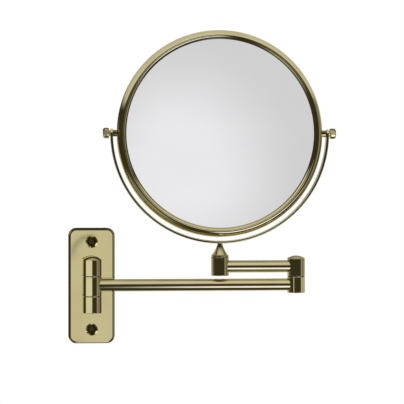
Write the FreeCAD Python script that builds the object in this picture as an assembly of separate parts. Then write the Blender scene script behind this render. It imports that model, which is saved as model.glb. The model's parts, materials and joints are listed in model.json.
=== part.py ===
"""Wall-mounted magnifying mirror on a folding double arm.

Millimetres, +Z up, the wall is the plane y = 0 and the mirror looks along -Y.
The origin is the centre of the wall plate's back face.
"""

import FreeCAD, Part
import math
import os

# Wall plate
plate_width = 46.5
plate_height = 116.0
plate_thickness = 6.0
plate_corner_radius = 8.0
plate_edge_radius = 2.6
wall_hole_spacing = 88.0
wall_hole_radius = 2.75
wall_countersink_radius = 6.1

# Barrels and pins, alike at the wall hinge, the elbow and the swivel
barrel_radius = 9.0
barrel_chamfer = 0.4
pin_radius = 2.5
dome_height = 3.1
nut_across_flats = 8.0
nut_height = 4.0
nut_recess = 0.8
counterbore_radius = 5.2
spring_washer_radius = 4.5
spring_washer_thickness = 1.1
spring_washer_slit = 1.2
friction_washer_thickness = 0.5
friction_washer_inset = 0.45

# Wall hinge
hinge_reach = 23.0
hinge_knuckle_height = 16.3
arm_knuckle_height = 19.4
bush_wall = 1.1
spine_width = 11.0
spine_gap = 0.8
bracket_screw_radius = 2.0
bracket_screw_head_radius = 3.8
bracket_screw_length = 13.0

# Arms
inner_arm_length = 204.6
inner_arm_rise = 1.0
outer_arm_length = 77.0
tube_radius = 6.15
tube_wall = 1.0
spigot_length = 14.0

# Elbow, measured from the axes of the two tubes
elbow_lower_drop = 8.2
elbow_lower_rise = 7.8
elbow_upper_drop = 10.0
elbow_upper_rise = 7.9

# Swivel under the yoke
pass_gap = 3.05
swivel_barrel_rise = 9.4
collar_height = 1.9
cone_base_radius = 6.5
cone_top_radius = 3.0
cone_height = 9.6
neck_radius = 2.75
neck_height = 1.8

# Yoke
yoke_gap = 3.8
yoke_thickness = 2.6
yoke_depth = 9.0
yoke_seat_depth = 0.15
yoke_screw_radius = 1.5
yoke_screw_head_radius = 2.8
yoke_screw_length = 11.0

# Mirror head
glass_radius = 96.6
glass_thickness = 3.0
mirror_curve_radius = 1000.0
glass_rim_gap = 0.4
frame_band = 6.5
frame_crest = 1.9
frame_edge_radius = 0.9
frame_edge_share = 0.48
rebate_depth = 2.0
retaining_ring_width = 2.85
retaining_ring_height = 1.5
retaining_ring_crest = 0.9
retaining_ring_land = 0.3
spacer_width = 4.6
board_thickness = 1.2
board_gap = 0.13
board_rim_gap = 0.5

# Tilt pivots and their thumb screws
boss_radius = 3.4
boss_seat_depth = 1.2
boss_spigot_radius = 2.8
boss_spigot_length = 3.6
pivot_washer_thickness = 0.5
thumb_screw_radius = 2.0
thumb_screw_grip = 5.0
thumb_screw_tip_gap = 1.0
knob_radius = 5.4
knob_length = 6.2
knob_outer_round = 2.2
knob_inner_round = 1.3
knob_neck_radius = 2.75
knob_neck_length = 1.1

# Fits
running_clearance = 0.05
seat_clearance = 0.03
screw_clearance = 0.2
cut_overrun = 2.0
match_tolerance = 0.001

# Places worked out from the sizes above
hinge_y = -hinge_reach
inner_z = inner_arm_rise
elbow_x = inner_arm_length
elbow_joint_low = inner_z + elbow_lower_rise
elbow_joint_high = elbow_joint_low + friction_washer_thickness
outer_z = elbow_joint_high + elbow_upper_drop
post_x = elbow_x - outer_arm_length
swivel_bottom = inner_z + tube_radius + pass_gap
swivel_top = outer_z + swivel_barrel_rise
collar_low = swivel_top + friction_washer_thickness
cone_low = collar_low + collar_height
neck_low = cone_low + cone_height
yoke_bottom = neck_low + neck_height
pin_bore_radius = pin_radius + running_clearance
counterbore_depth = spring_washer_thickness + nut_height + nut_recess
frame_bore_radius = glass_radius + glass_rim_gap
frame_radius = frame_bore_radius + frame_band
yoke_inner_radius = frame_radius + yoke_gap
yoke_outer_radius = yoke_inner_radius + yoke_thickness
mirror_z = yoke_bottom + yoke_outer_radius
glass_sag = mirror_curve_radius - math.sqrt(mirror_curve_radius**2 - glass_radius**2)
glass_stack = glass_sag + glass_thickness + board_gap + board_thickness + glass_thickness
front_rim = glass_stack / 2
rear_face = -glass_stack / 2
frame_half_depth = glass_stack / 2 + rebate_depth
boss_seat = frame_radius - boss_seat_depth
yoke_seat = yoke_inner_radius + yoke_seat_depth
boss_end = yoke_seat - pivot_washer_thickness

UP = FreeCAD.Vector(0, 0, 1)
ACROSS = FreeCAD.Vector(1, 0, 0)
BACK = FreeCAD.Vector(0, 1, 0)
ORIGIN = FreeCAD.Vector(0, 0, 0)
MIRROR_CENTRE = FreeCAD.Vector(post_x, hinge_y, mirror_z)


def upright(radius, low, high, x=0, y=hinge_y):
    """Cylinder along Z between two heights."""
    return Part.makeCylinder(radius, high - low, FreeCAD.Vector(x, y, low), UP)


def sideways(radius, left, right, y=0, z=0):
    """Cylinder along X between two places."""
    return Part.makeCylinder(radius, right - left, FreeCAD.Vector(left, y, z), ACROSS)


def endways(radius, front, back, x=0, z=0):
    """Cylinder along Y between two depths."""
    return Part.makeCylinder(radius, back - front, FreeCAD.Vector(x, front, z), BACK)


def block(low, high):
    """Box between two corners."""
    size = high - low
    return Part.makeBox(size.x, size.y, size.z, low)


def level_edges(shape, axis, place):
    """Edges that lie wholly at one place along an axis."""
    found = []
    for edge in shape.Edges:
        box = edge.BoundBox
        low = getattr(box, axis + "Min")
        high = getattr(box, axis + "Max")
        if abs(low - place) < match_tolerance and abs(high - place) < match_tolerance:
            found.append(edge)
    return found


def barrel(low, high, x=0):
    """Plain barrel with its two end edges broken."""
    shape = upright(barrel_radius, low, high, x)
    edges = level_edges(shape, "Z", low) + level_edges(shape, "Z", high)
    return shape.makeChamfer(barrel_chamfer, edges)


def spigot(x, towards, z):
    """Stub that plugs into the end of a tube, from the barrel's axis outwards."""
    radius = tube_radius - tube_wall - seat_clearance
    far = x + towards * (barrel_radius + spigot_length)
    return sideways(radius, min(x, far), max(x, far), hinge_y, z)


def tube(left, right, z):
    """Arm tube whose ends are coped to fit round the barrels at left and right."""
    shape = sideways(tube_radius, left, right, hinge_y, z)
    shape = shape.cut(sideways(tube_radius - tube_wall, left, right, hinge_y, z))
    for x in (left, right):
        cope = upright(barrel_radius + seat_clearance, z - barrel_radius, z + barrel_radius, x)
        shape = shape.cut(cope)
    return shape


def pin_bore(low, high, x=0, radius=pin_bore_radius):
    """Cut for a pin, run past both ends."""
    return upright(radius, low - cut_overrun, high + cut_overrun, x)


def counterbore(low, x=0):
    """Pocket in the underside of a barrel for a spring washer and a nut."""
    return upright(counterbore_radius, low - cut_overrun, low + counterbore_depth, x)


def washer(radius, low, thickness, x=0):
    """Flat washer round a pin."""
    return upright(radius, low, low + thickness, x).cut(pin_bore(low, low + thickness, x))


def friction_washer(low, x=0):
    """Nylon washer between two barrels, set in a little from their faces."""
    return washer(barrel_radius - friction_washer_inset, low, friction_washer_thickness, x)


def spring_washer(barrel_low, x=0):
    """Split washer against the floor of a counterbore."""
    low = barrel_low + counterbore_depth - spring_washer_thickness
    shape = washer(spring_washer_radius, low, spring_washer_thickness, x)
    slit = block(
        FreeCAD.Vector(x - spring_washer_slit / 2, hinge_y, low - cut_overrun),
        FreeCAD.Vector(x + spring_washer_slit / 2, hinge_y + barrel_radius, low + cut_overrun),
    )
    return shape.cut(slit)


def nut(barrel_low, x=0):
    """Hexagon nut in a counterbore, under its spring washer."""
    low = barrel_low + nut_recess
    corner = nut_across_flats / math.sqrt(3)
    points = []
    for side in range(7):
        turn = side * math.pi / 3
        points.append(FreeCAD.Vector(x + corner * math.cos(turn), hinge_y + corner * math.sin(turn), low))
    shape = Part.Face(Part.makePolygon(points)).extrude(UP * nut_height)
    return shape.cut(pin_bore(low, low + nut_height, x, pin_radius + seat_clearance))


def domed_pin(barrel_low, barrel_top, x=0):
    """Pin down to the nut, with a shallow domed head that covers the top of the barrel."""
    ball_radius = (barrel_radius**2 + dome_height**2) / (2 * dome_height)
    ball = Part.makeSphere(ball_radius, FreeCAD.Vector(x, hinge_y, barrel_top + dome_height - ball_radius))
    head = ball.common(upright(barrel_radius, barrel_top, barrel_top + ball_radius, x))
    return head.fuse(upright(pin_radius, barrel_low + nut_recess, barrel_top, x)).removeSplitter()


def countersunk_screw(radius, head_radius, length):
    """Countersunk screw along +Z from the origin, the flat of its head at the origin."""
    head_height = head_radius - radius
    head = Part.makeCone(head_radius, radius, head_height, ORIGIN, UP)
    return head.fuse(Part.makeCylinder(radius, length, ORIGIN, UP)).removeSplitter()


def placed(shape, start, axis):
    """Shape that stood along +Z from the origin, moved to start and turned along axis."""
    turned = shape.copy()
    turned.Placement = FreeCAD.Placement(start, FreeCAD.Rotation(UP, axis))
    return turned


def ring_of(outer, inner, front, back):
    """Flat ring round the mirror's own axis, with depths counted forward from the mirror's middle plane."""
    solid = endways(outer, -front, -back)
    bore = endways(inner, -front - cut_overrun, -back + cut_overrun)
    return solid.cut(bore)


def at_mirror(shape):
    """Shape modelled about the mirror's centre, moved to where the mirror hangs."""
    moved = shape.copy()
    moved.translate(MIRROR_CENTRE)
    return moved


def on_side(shape, side):
    """Shape modelled on the right of the mirror, turned to the left where side is -1."""
    turned = shape.copy()
    if side < 0:
        turned.rotate(ORIGIN, UP, 180)
    return at_mirror(turned)


# Wall plate and hinge

hinge_mid_high = arm_knuckle_height / 2
hinge_upper_low = hinge_mid_high + friction_washer_thickness
hinge_upper_high = hinge_upper_low + hinge_knuckle_height
hinge_lower_high = -hinge_upper_low
hinge_lower_low = -hinge_upper_high
bracket_screw_heights = (
    (hinge_upper_low + hinge_upper_high) / 2,
    (hinge_lower_low + hinge_lower_high) / 2,
)


def backplate():
    half = FreeCAD.Vector(plate_width / 2, 0, plate_height / 2)
    plate = block(FreeCAD.Vector(-half.x, -plate_thickness, -half.z), half)
    corners = [edge for edge in plate.Edges if edge.BoundBox.YLength > plate_thickness / 2]
    plate = plate.makeFillet(plate_corner_radius, corners)
    plate = plate.makeFillet(plate_edge_radius, level_edges(plate, "Y", -plate_thickness))
    countersink_depth = wall_countersink_radius - wall_hole_radius
    for z in (-wall_hole_spacing / 2, wall_hole_spacing / 2):
        plate = plate.cut(endways(wall_hole_radius, -plate_thickness - cut_overrun, cut_overrun, 0, z))
        mouth = FreeCAD.Vector(0, -plate_thickness, z)
        sink = Part.makeCone(wall_countersink_radius, wall_hole_radius, countersink_depth, mouth, BACK)
        plate = plate.cut(sink)
    for z in bracket_screw_heights:
        hole_radius = bracket_screw_radius + screw_clearance
        plate = plate.cut(endways(hole_radius, -plate_thickness - cut_overrun, cut_overrun, 0, z))
        head_radius = bracket_screw_head_radius + screw_clearance
        mouth = FreeCAD.Vector(0, 0, z)
        sink = Part.makeCone(head_radius, hole_radius, head_radius - hole_radius, mouth, -BACK)
        plate = plate.cut(sink)
    return plate


def hinge_bracket():
    spine_front = hinge_y + barrel_radius + spine_gap
    shape = block(
        FreeCAD.Vector(-spine_width / 2, spine_front, hinge_lower_low + barrel_chamfer),
        FreeCAD.Vector(spine_width / 2, -plate_thickness, hinge_upper_high - barrel_chamfer),
    )
    for low, high in ((hinge_lower_low, hinge_lower_high), (hinge_upper_low, hinge_upper_high)):
        web = block(
            FreeCAD.Vector(-spine_width / 2, hinge_y, low + barrel_chamfer),
            FreeCAD.Vector(spine_width / 2, -plate_thickness, high - barrel_chamfer),
        )
        shape = shape.fuse([barrel(low, high), web])
    shape = shape.cut(pin_bore(hinge_lower_low, hinge_upper_high))
    shape = shape.cut(counterbore(hinge_lower_low))
    for z in bracket_screw_heights:
        radius = bracket_screw_radius + seat_clearance
        shape = shape.cut(endways(radius, -bracket_screw_length, 0, 0, z))
    return shape.removeSplitter()


def bracket_screws():
    screw = countersunk_screw(bracket_screw_radius, bracket_screw_head_radius, bracket_screw_length)
    return Part.makeCompound([placed(screw, FreeCAD.Vector(0, 0, z), -BACK) for z in bracket_screw_heights])


def hinge_washers():
    lows = (hinge_mid_high, -hinge_mid_high - friction_washer_thickness)
    return Part.makeCompound([friction_washer(low) for low in lows])


# Arms and elbow

bush_radius = pin_bore_radius + bush_wall
elbow_lower_low = inner_z - elbow_lower_drop
elbow_top = outer_z + elbow_upper_rise


def inner_arm_knuckle():
    shape = barrel(-hinge_mid_high, hinge_mid_high).fuse(spigot(0, 1, inner_z))
    bore = pin_bore(-hinge_mid_high, hinge_mid_high, 0, bush_radius + seat_clearance)
    return shape.cut(bore)


def hinge_bush():
    sleeve = upright(bush_radius, -hinge_mid_high, hinge_mid_high)
    return sleeve.cut(pin_bore(-hinge_mid_high, hinge_mid_high))


def elbow_lower_barrel():
    shape = barrel(elbow_lower_low, elbow_joint_low, elbow_x).fuse(spigot(elbow_x, -1, inner_z))
    shape = shape.cut(pin_bore(elbow_lower_low, elbow_joint_low, elbow_x))
    return shape.cut(counterbore(elbow_lower_low, elbow_x))


def elbow_upper_barrel():
    shape = barrel(elbow_joint_high, elbow_top, elbow_x).fuse(spigot(elbow_x, -1, outer_z))
    return shape.cut(pin_bore(elbow_joint_high, elbow_top, elbow_x))


# Swivel and yoke

def swivel_barrel():
    shape = barrel(swivel_bottom, swivel_top, post_x).fuse(spigot(post_x, 1, outer_z))
    shape = shape.cut(pin_bore(swivel_bottom, swivel_top, post_x))
    return shape.cut(counterbore(swivel_bottom, post_x))


def swivel_post():
    collar = barrel(collar_low, cone_low, post_x)
    cone_base = FreeCAD.Vector(post_x, hinge_y, cone_low)
    cone = Part.makeCone(cone_base_radius, cone_top_radius, cone_height, cone_base, UP)
    neck = upright(neck_radius, neck_low, yoke_bottom, post_x)
    spindle = upright(pin_radius, swivel_bottom + nut_recess, collar_low, post_x)
    shape = collar.fuse([cone, neck, spindle])
    thread_low = yoke_bottom + yoke_thickness - yoke_screw_length
    thread = upright(yoke_screw_radius + seat_clearance, thread_low, yoke_bottom + cut_overrun, post_x)
    return shape.cut(thread).removeSplitter()


def yoke():
    strip = ring_of(yoke_outer_radius, yoke_inner_radius, yoke_depth / 2, -yoke_depth / 2)
    lower_half = block(
        FreeCAD.Vector(-yoke_outer_radius, -yoke_depth, -yoke_outer_radius),
        FreeCAD.Vector(yoke_outer_radius, yoke_depth, 0),
    )
    tabs = sideways(yoke_depth / 2, -yoke_outer_radius, yoke_outer_radius)
    shape = strip.common(lower_half.fuse(tabs))
    hole_radius = thumb_screw_radius + running_clearance
    shape = shape.cut(sideways(hole_radius, -yoke_outer_radius, yoke_outer_radius))
    shape = shape.cut(sideways(yoke_depth / 2, -yoke_seat, yoke_seat))
    hole_radius = yoke_screw_radius + screw_clearance
    head_radius = yoke_screw_head_radius + screw_clearance
    top = FreeCAD.Vector(0, 0, -yoke_inner_radius)
    shape = shape.cut(Part.makeCone(head_radius, hole_radius, head_radius - hole_radius, top, -UP))
    shape = shape.cut(Part.makeCylinder(hole_radius, yoke_thickness + cut_overrun, top, -UP))
    shape = shape.cut(Part.makeCylinder(head_radius, cut_overrun, top, UP))
    return at_mirror(shape.removeSplitter())


def yoke_screw():
    screw = countersunk_screw(yoke_screw_radius, yoke_screw_head_radius, yoke_screw_length)
    return placed(screw, FreeCAD.Vector(post_x, hinge_y, yoke_bottom + yoke_thickness), -UP)


# Mirror head

def sag_at(radius):
    """How far the concave glass stands forward at a radius, counted from its middle."""
    return mirror_curve_radius - math.sqrt(mirror_curve_radius**2 - radius**2)


def front_at(radius):
    """Depth of the concave glass's front face at a radius."""
    return front_rim - glass_sag + sag_at(radius)


def curved_edge(shift):
    """Arc of the concave glass from its middle to its rim, set back by shift."""
    points = []
    for radius in (0, glass_radius / 2, glass_radius):
        points.append(FreeCAD.Vector(radius, shift - front_at(radius), 0))
    return Part.Arc(*points).toShape(), points[0], points[-1]


def magnifying_glass():
    front, front_middle, front_edge = curved_edge(0)
    back, back_middle, back_edge = curved_edge(glass_thickness)
    wire = Part.Wire([
        Part.makeLine(back_middle, front_middle),
        front,
        Part.makeLine(front_edge, back_edge),
        back,
    ])
    return at_mirror(Part.Face(wire).revolve(ORIGIN, BACK, 360))


def flat_glass():
    return at_mirror(endways(glass_radius, -rear_face - glass_thickness, -rear_face))


def backing_board():
    seat = -rear_face - glass_thickness
    radius = glass_radius - spacer_width - board_rim_gap
    return at_mirror(endways(radius, seat - board_thickness, seat))


def spacer_ring():
    inner = glass_radius - spacer_width
    front = front_at(inner) - glass_thickness
    return at_mirror(ring_of(glass_radius, inner, front, rear_face + glass_thickness))


def mirror_frame():
    crest_radius = frame_bore_radius + frame_crest
    corners = (
        FreeCAD.Vector(frame_bore_radius, -frame_half_depth, 0),
        FreeCAD.Vector(crest_radius, -frame_half_depth, 0),
        FreeCAD.Vector(crest_radius, frame_half_depth, 0),
        FreeCAD.Vector(frame_bore_radius, frame_half_depth, 0),
    )
    widest = FreeCAD.Vector(frame_radius, 0, 0)
    wire = Part.Wire([
        Part.makeLine(corners[0], corners[1]),
        Part.Arc(corners[1], widest, corners[2]).toShape(),
        Part.makeLine(corners[2], corners[3]),
        Part.makeLine(corners[3], corners[0]),
    ])
    shape = Part.Face(wire).revolve(ORIGIN, BACK, 360)
    edges = level_edges(shape, "Y", -frame_half_depth) + level_edges(shape, "Y", frame_half_depth)
    shape = shape.makeFillet(min(frame_edge_radius, frame_edge_share * frame_crest), edges)
    seat_radius = boss_radius + seat_clearance
    hole_radius = boss_spigot_radius + seat_clearance
    for side in (-1, 1):
        seat = sideways(seat_radius, boss_seat, frame_radius + cut_overrun)
        hole = sideways(hole_radius, boss_seat - boss_spigot_length, frame_radius)
        for cut in (seat, hole):
            cut.rotate(ORIGIN, UP, 90 - 90 * side)
            shape = shape.cut(cut)
    return at_mirror(shape)


def retaining_ring(seat, towards):
    """Bead that holds a glass in the frame's rebate, on the front (1) or on the back (-1)."""
    outer = frame_bore_radius - seat_clearance
    inner = outer - retaining_ring_width

    def place(radius, height):
        return FreeCAD.Vector(radius, -seat - towards * height, 0)

    profile = Part.makePolygon([
        place(inner, 0),
        place(outer, 0),
        place(outer, retaining_ring_height),
        place(outer - retaining_ring_crest, retaining_ring_height),
        place(inner, retaining_ring_land),
        place(inner, 0),
    ])
    return at_mirror(Part.Face(profile).revolve(ORIGIN, BACK, 360))


# Tilt pivots

def pivot_boss(side):
    shape = sideways(boss_radius, boss_seat, boss_end)
    shape = shape.fuse(sideways(boss_spigot_radius, boss_seat - boss_spigot_length, boss_seat))
    hole_radius = thumb_screw_radius + running_clearance
    hole_end = boss_end - thumb_screw_grip - thumb_screw_tip_gap
    shape = shape.cut(sideways(hole_radius, hole_end, boss_end))
    return on_side(shape, side)


def pivot_washers():
    shape = sideways(boss_radius, boss_end, yoke_seat)
    shape = shape.cut(sideways(thumb_screw_radius + running_clearance, boss_end, yoke_seat))
    return Part.makeCompound([on_side(shape, side) for side in (-1, 1)])


def thumb_screw(side):
    neck_end = yoke_outer_radius + knob_neck_length
    knob_end = neck_end + knob_length
    knob = sideways(knob_radius, neck_end, knob_end)
    knob = knob.makeFillet(knob_outer_round, level_edges(knob, "X", knob_end))
    knob = knob.makeFillet(knob_inner_round, level_edges(knob, "X", neck_end))
    neck = sideways(knob_neck_radius, yoke_outer_radius, neck_end)
    shank = sideways(thumb_screw_radius, boss_end - thumb_screw_grip, yoke_outer_radius)
    return on_side(knob.fuse([neck, shank]).removeSplitter(), side)


pieces = {
    "backplate": backplate(),
    "hinge_bracket": hinge_bracket(),
    "bracket_screws": bracket_screws(),
    "hinge_pin": domed_pin(hinge_lower_low, hinge_upper_high),
    "hinge_bush": hinge_bush(),
    "hinge_washers": hinge_washers(),
    "hinge_spring_washer": spring_washer(hinge_lower_low),
    "hinge_nut": nut(hinge_lower_low),
    "inner_arm_knuckle": inner_arm_knuckle(),
    "inner_arm_tube": tube(0, elbow_x, inner_z),
    "elbow_lower_barrel": elbow_lower_barrel(),
    "elbow_washer": friction_washer(elbow_joint_low, elbow_x),
    "elbow_upper_barrel": elbow_upper_barrel(),
    "elbow_pin": domed_pin(elbow_lower_low, elbow_top, elbow_x),
    "elbow_spring_washer": spring_washer(elbow_lower_low, elbow_x),
    "elbow_nut": nut(elbow_lower_low, elbow_x),
    "outer_arm_tube": tube(post_x, elbow_x, outer_z),
    "swivel_barrel": swivel_barrel(),
    "swivel_washer": friction_washer(swivel_top, post_x),
    "swivel_post": swivel_post(),
    "swivel_spring_washer": spring_washer(swivel_bottom, post_x),
    "swivel_nut": nut(swivel_bottom, post_x),
    "yoke": yoke(),
    "yoke_screw": yoke_screw(),
    "mirror_frame": mirror_frame(),
    "front_retaining_ring": retaining_ring(front_rim, 1),
    "rear_retaining_ring": retaining_ring(rear_face, -1),
    "magnifying_glass": magnifying_glass(),
    "flat_glass": flat_glass(),
    "spacer_ring": spacer_ring(),
    "backing_board": backing_board(),
    "left_pivot_boss": pivot_boss(-1),
    "right_pivot_boss": pivot_boss(1),
    "pivot_washers": pivot_washers(),
    "left_thumb_screw": thumb_screw(-1),
    "right_thumb_screw": thumb_screw(1),
}

os.makedirs("parts", exist_ok=True)
for name, shape in pieces.items():
    shape.exportStep(f"parts/{name}.step")
    print(f"{name}: {len(shape.Solids)} solid(s), {shape.Volume:.1f} cubic mm, valid {shape.isValid()}")
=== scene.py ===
"""Wall-mounted magnifying mirror on a folding double arm: its finished pieces, materials and studio stage.

Everything is in metres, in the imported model's own frame: the wall is the plane y = 0, +Z is up
and the mirror looks along -Y.
"""

import json
import math
from typing import NamedTuple

import bmesh
import bpy
from bpy.props import FloatProperty, FloatVectorProperty, IntProperty, PointerProperty
from mathutils import Matrix, Vector


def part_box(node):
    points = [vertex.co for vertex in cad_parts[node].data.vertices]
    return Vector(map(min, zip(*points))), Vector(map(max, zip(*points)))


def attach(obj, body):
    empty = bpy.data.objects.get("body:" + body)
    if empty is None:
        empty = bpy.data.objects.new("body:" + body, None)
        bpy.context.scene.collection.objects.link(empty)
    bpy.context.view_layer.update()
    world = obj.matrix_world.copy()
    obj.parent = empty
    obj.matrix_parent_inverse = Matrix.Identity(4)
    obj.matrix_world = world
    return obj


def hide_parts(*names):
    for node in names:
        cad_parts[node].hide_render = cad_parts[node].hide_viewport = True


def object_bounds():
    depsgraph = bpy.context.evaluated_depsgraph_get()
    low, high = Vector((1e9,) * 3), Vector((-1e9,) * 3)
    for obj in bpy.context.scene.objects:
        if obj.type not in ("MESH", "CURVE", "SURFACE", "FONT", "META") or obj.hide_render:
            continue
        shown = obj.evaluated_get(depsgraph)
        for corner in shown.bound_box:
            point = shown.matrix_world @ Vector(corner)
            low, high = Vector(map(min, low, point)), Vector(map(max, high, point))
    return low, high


bl_info = {
    "name": "Wall Magnifying Mirror",
    "version": (1, 0, 0),
    "blender": (4, 5, 0),
    "location": "View3D > Sidebar > Mirror",
    "description": "Finishes the pieces of a wall-mounted magnifying mirror and sets its studio stage",
    "category": "Object",
}

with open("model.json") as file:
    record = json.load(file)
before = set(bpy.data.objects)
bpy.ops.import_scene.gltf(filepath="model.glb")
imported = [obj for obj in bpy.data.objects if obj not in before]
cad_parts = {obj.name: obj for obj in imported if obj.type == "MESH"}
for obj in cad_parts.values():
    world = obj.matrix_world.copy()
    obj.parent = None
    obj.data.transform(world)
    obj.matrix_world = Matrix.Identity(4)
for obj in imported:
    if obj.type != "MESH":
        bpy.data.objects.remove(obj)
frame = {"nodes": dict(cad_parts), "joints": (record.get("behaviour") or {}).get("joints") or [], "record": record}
cad_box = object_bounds()

MM = 0.001
DEGREE = 180 / math.pi
SEAM = 1e-6
BODY_OF = {node: body for body, nodes in frame["record"]["behaviour"]["bodies"].items() for node in nodes}
SLOT_OF = {part["node"]: part["material_slot"] for part in frame["record"]["subparts"]}
JOINT_AT = {joint["name"]: Vector(joint["pos_m"]) for joint in frame["joints"]}
WALL_SCREWS = next(mount["dims"] for mount in frame["record"]["mounts"] if mount["name"] == "wall_screws")
SCREW_SPACING = WALL_SCREWS["spacing_y_mm"] * MM
SCREW_HOLE_RADIUS = WALL_SCREWS["hole_r_mm"] * MM

UP = Vector((0, 0, 1))
RIGHT = Vector((1, 0, 0))
FRONT = Vector((0, -1, 0))


# Settings

def length(name, description, millimetres):
    return FloatProperty(name=name, description=description, default=millimetres * MM, min=0, unit="LENGTH")


def colour(name, description, red, green, blue):
    return FloatVectorProperty(
        name=name, description=description, default=(red, green, blue), min=0, max=1, subtype="COLOR")


def turn(name, description, degrees):
    return FloatProperty(
        name=name, description=description, default=math.radians(degrees), unit="ROTATION")


def share(name, description, part_of_one):
    return FloatProperty(name=name, description=description, default=part_of_one, subtype="FACTOR")


def count(name, description, number, least):
    return IntProperty(name=name, description=description, default=number, min=least)


class PlateSizes(bpy.types.PropertyGroup):
    """Wall plate."""

    corner_round: length("Corner round", "Radius of the plate's four corners", 8.0)
    edge_round: length("Edge round", "Round along the plate's front edge", 2.6)
    countersink_radius: length("Countersink radius", "Mouth of a wall-screw hole", 6.1)
    lip_width: length("Lip width", "Width of the countersink's flatter lip", 1.3)
    lip_depth: length("Lip depth", "Depth of the countersink's flatter lip", 1.09)
    lip_step: length("Lip step", "Drop from the lip to the countersink's cone", 0.15)
    bracket_hole_radius: length("Bracket hole radius", "Hole for a bracket screw", 2.2)
    bracket_sink_radius: length("Bracket sink radius", "Mouth of a bracket-screw hole, at the back", 4.0)


class BarrelSizes(bpy.types.PropertyGroup):
    """Barrels and pins, alike at the wall hinge, the elbow and the swivel."""

    edge_round: length("Edge round", "Round on the barrels' end edges", 0.45)
    pin_radius: length("Pin radius", "Pin through a barrel", 2.5)
    pin_gap: length("Pin gap", "Running clearance round a pin", 0.05)
    bush_radius: length("Bush radius", "Bore for the bush in the turning knuckle", 3.68)
    pocket_radius: length("Pocket radius", "Nut pocket under a barrel", 5.2)
    pocket_depth: length("Pocket depth", "Depth of a nut pocket", 5.9)
    spigot_radius: length("Spigot radius", "Stub that plugs into a tube", 5.12)
    spigot_length: length("Spigot length", "Reach of the stub into a tube", 14.0)
    spigot_root: length("Spigot root", "Where the stub starts, inside the barrel's wall", 6.5)
    tube_wall: length("Tube wall", "Wall of the arm tubes", 1.0)
    tube_gap: length("Tube gap", "Gap between a coped tube end and its barrel", 0.03)
    tip_chamfer: length("Tip chamfer", "Broken edge at the end of a pin", 0.4)


class BracketSizes(bpy.types.PropertyGroup):
    """Hinge bracket behind the barrels."""

    spine_width: length("Spine width", "Width of the spine between plate and barrels", 11.0)
    spine_gap: length("Spine gap", "Room between the spine and the turning knuckle", 0.8)
    spine_round: length("Spine round", "Round on the spine's edges", 0.6)


class PostSizes(bpy.types.PropertyGroup):
    """Collar, cone and neck under the yoke."""

    collar_height: length("Collar height", "Height of the collar", 1.9)
    collar_round: length("Collar round", "Round on the collar's upper edge", 0.7)
    cone_base_radius: length("Cone base radius", "Flared foot of the cone", 8.2)
    cone_top_radius: length("Cone top radius", "Top of the cone", 3.2)
    cone_height: length("Cone height", "Height of the cone", 9.6)
    neck_radius: length("Neck radius", "Neck between cone and yoke", 2.75)
    thread_radius: length("Thread radius", "Hole for the yoke screw", 1.53)
    thread_depth: length("Thread depth", "Depth of the hole for the yoke screw", 8.4)


class YokeSizes(bpy.types.PropertyGroup):
    """Bent strip that carries the mirror."""

    thickness: length("Thickness", "Thickness of the strip", 2.6)
    edge_round: length("Edge round", "Round on the strip's long edges", 0.9)
    pivot_hole_radius: length("Pivot hole radius", "Hole for a thumb screw", 2.05)
    seat_depth: length("Seat depth", "Flat seat for a pivot washer", 0.15)
    screw_hole_radius: length("Screw hole radius", "Hole for the yoke screw", 1.7)
    screw_sink_radius: length("Screw sink radius", "Countersink for the yoke screw", 3.0)


class HeadSizes(bpy.types.PropertyGroup):
    """Mirror frame, beads and glasses."""

    frame_band: length("Frame band", "Width of the frame round the glass", 6.5)
    frame_crest: length("Frame crest", "Width of the frame's front and rear edge", 1.9)
    crest_round: length("Crest round", "Round on the frame's front and rear edge", 0.85)
    bead_land: length("Bead land", "Height of a retaining ring at its inner edge", 0.1)
    bead_round: length("Bead round", "Round on a retaining ring's outer part", 2.0)
    bead_lip_width: length("Bead lip width", "Flat lip next to the glass", 1.05)
    bead_lip_rise: length("Bead lip rise", "How far that lip slopes", 0.25)
    bead_width: length("Bead width", "Width of a retaining ring", 2.85)
    glass_thickness: length("Glass thickness", "Thickness of the concave glass", 3.0)
    ground_edge: length("Ground edge", "Broken edge of a glass", 0.35)
    seat_depth: length("Boss seat depth", "Seat for a pivot boss in the frame", 1.2)
    seat_gap: length("Boss seat gap", "Gap round a pivot boss in its seat", 0.03)


class PivotSizes(bpy.types.PropertyGroup):
    """Pivot bosses and thumb screws."""

    boss_spigot_radius: length("Boss spigot radius", "Stub of a boss in the frame", 2.8)
    boss_spigot_length: length("Boss spigot length", "Length of that stub", 3.6)
    boss_hole_depth: length("Boss hole depth", "Depth of the hole for a thumb screw", 6.0)
    shank_radius: length("Shank radius", "Shank of a thumb screw", 2.0)
    neck_radius: length("Neck radius", "Neck of a thumb screw, outside the yoke", 2.75)
    neck_length: length("Neck length", "Length of that neck", 1.1)
    knob_length: length("Knob length", "Length of a knob", 6.2)
    knob_outer_round: length("Knob outer round", "Round on a knob's outer edge", 2.2)
    knob_inner_round: length("Knob inner round", "Round on a knob's inner edge", 1.3)
    edge_round: length("Edge round", "Broken edges of bosses and shanks", 0.25)


class FastenerSizes(bpy.types.PropertyGroup):
    """Nuts and countersunk screws."""

    nut_corner_break: length("Nut corner break", "How far a nut's corners are turned off", 0.5)
    bracket_shank_radius: length("Bracket shank radius", "Shank of a bracket screw", 2.0)
    yoke_shank_radius: length("Yoke shank radius", "Shank of the yoke screw", 1.5)
    socket_share: share("Socket share", "Key socket's radius as a share of the screw head's", 0.45)
    socket_depth_share: share("Socket depth share", "Key socket's depth as a share of the head radius", 0.4)


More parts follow.
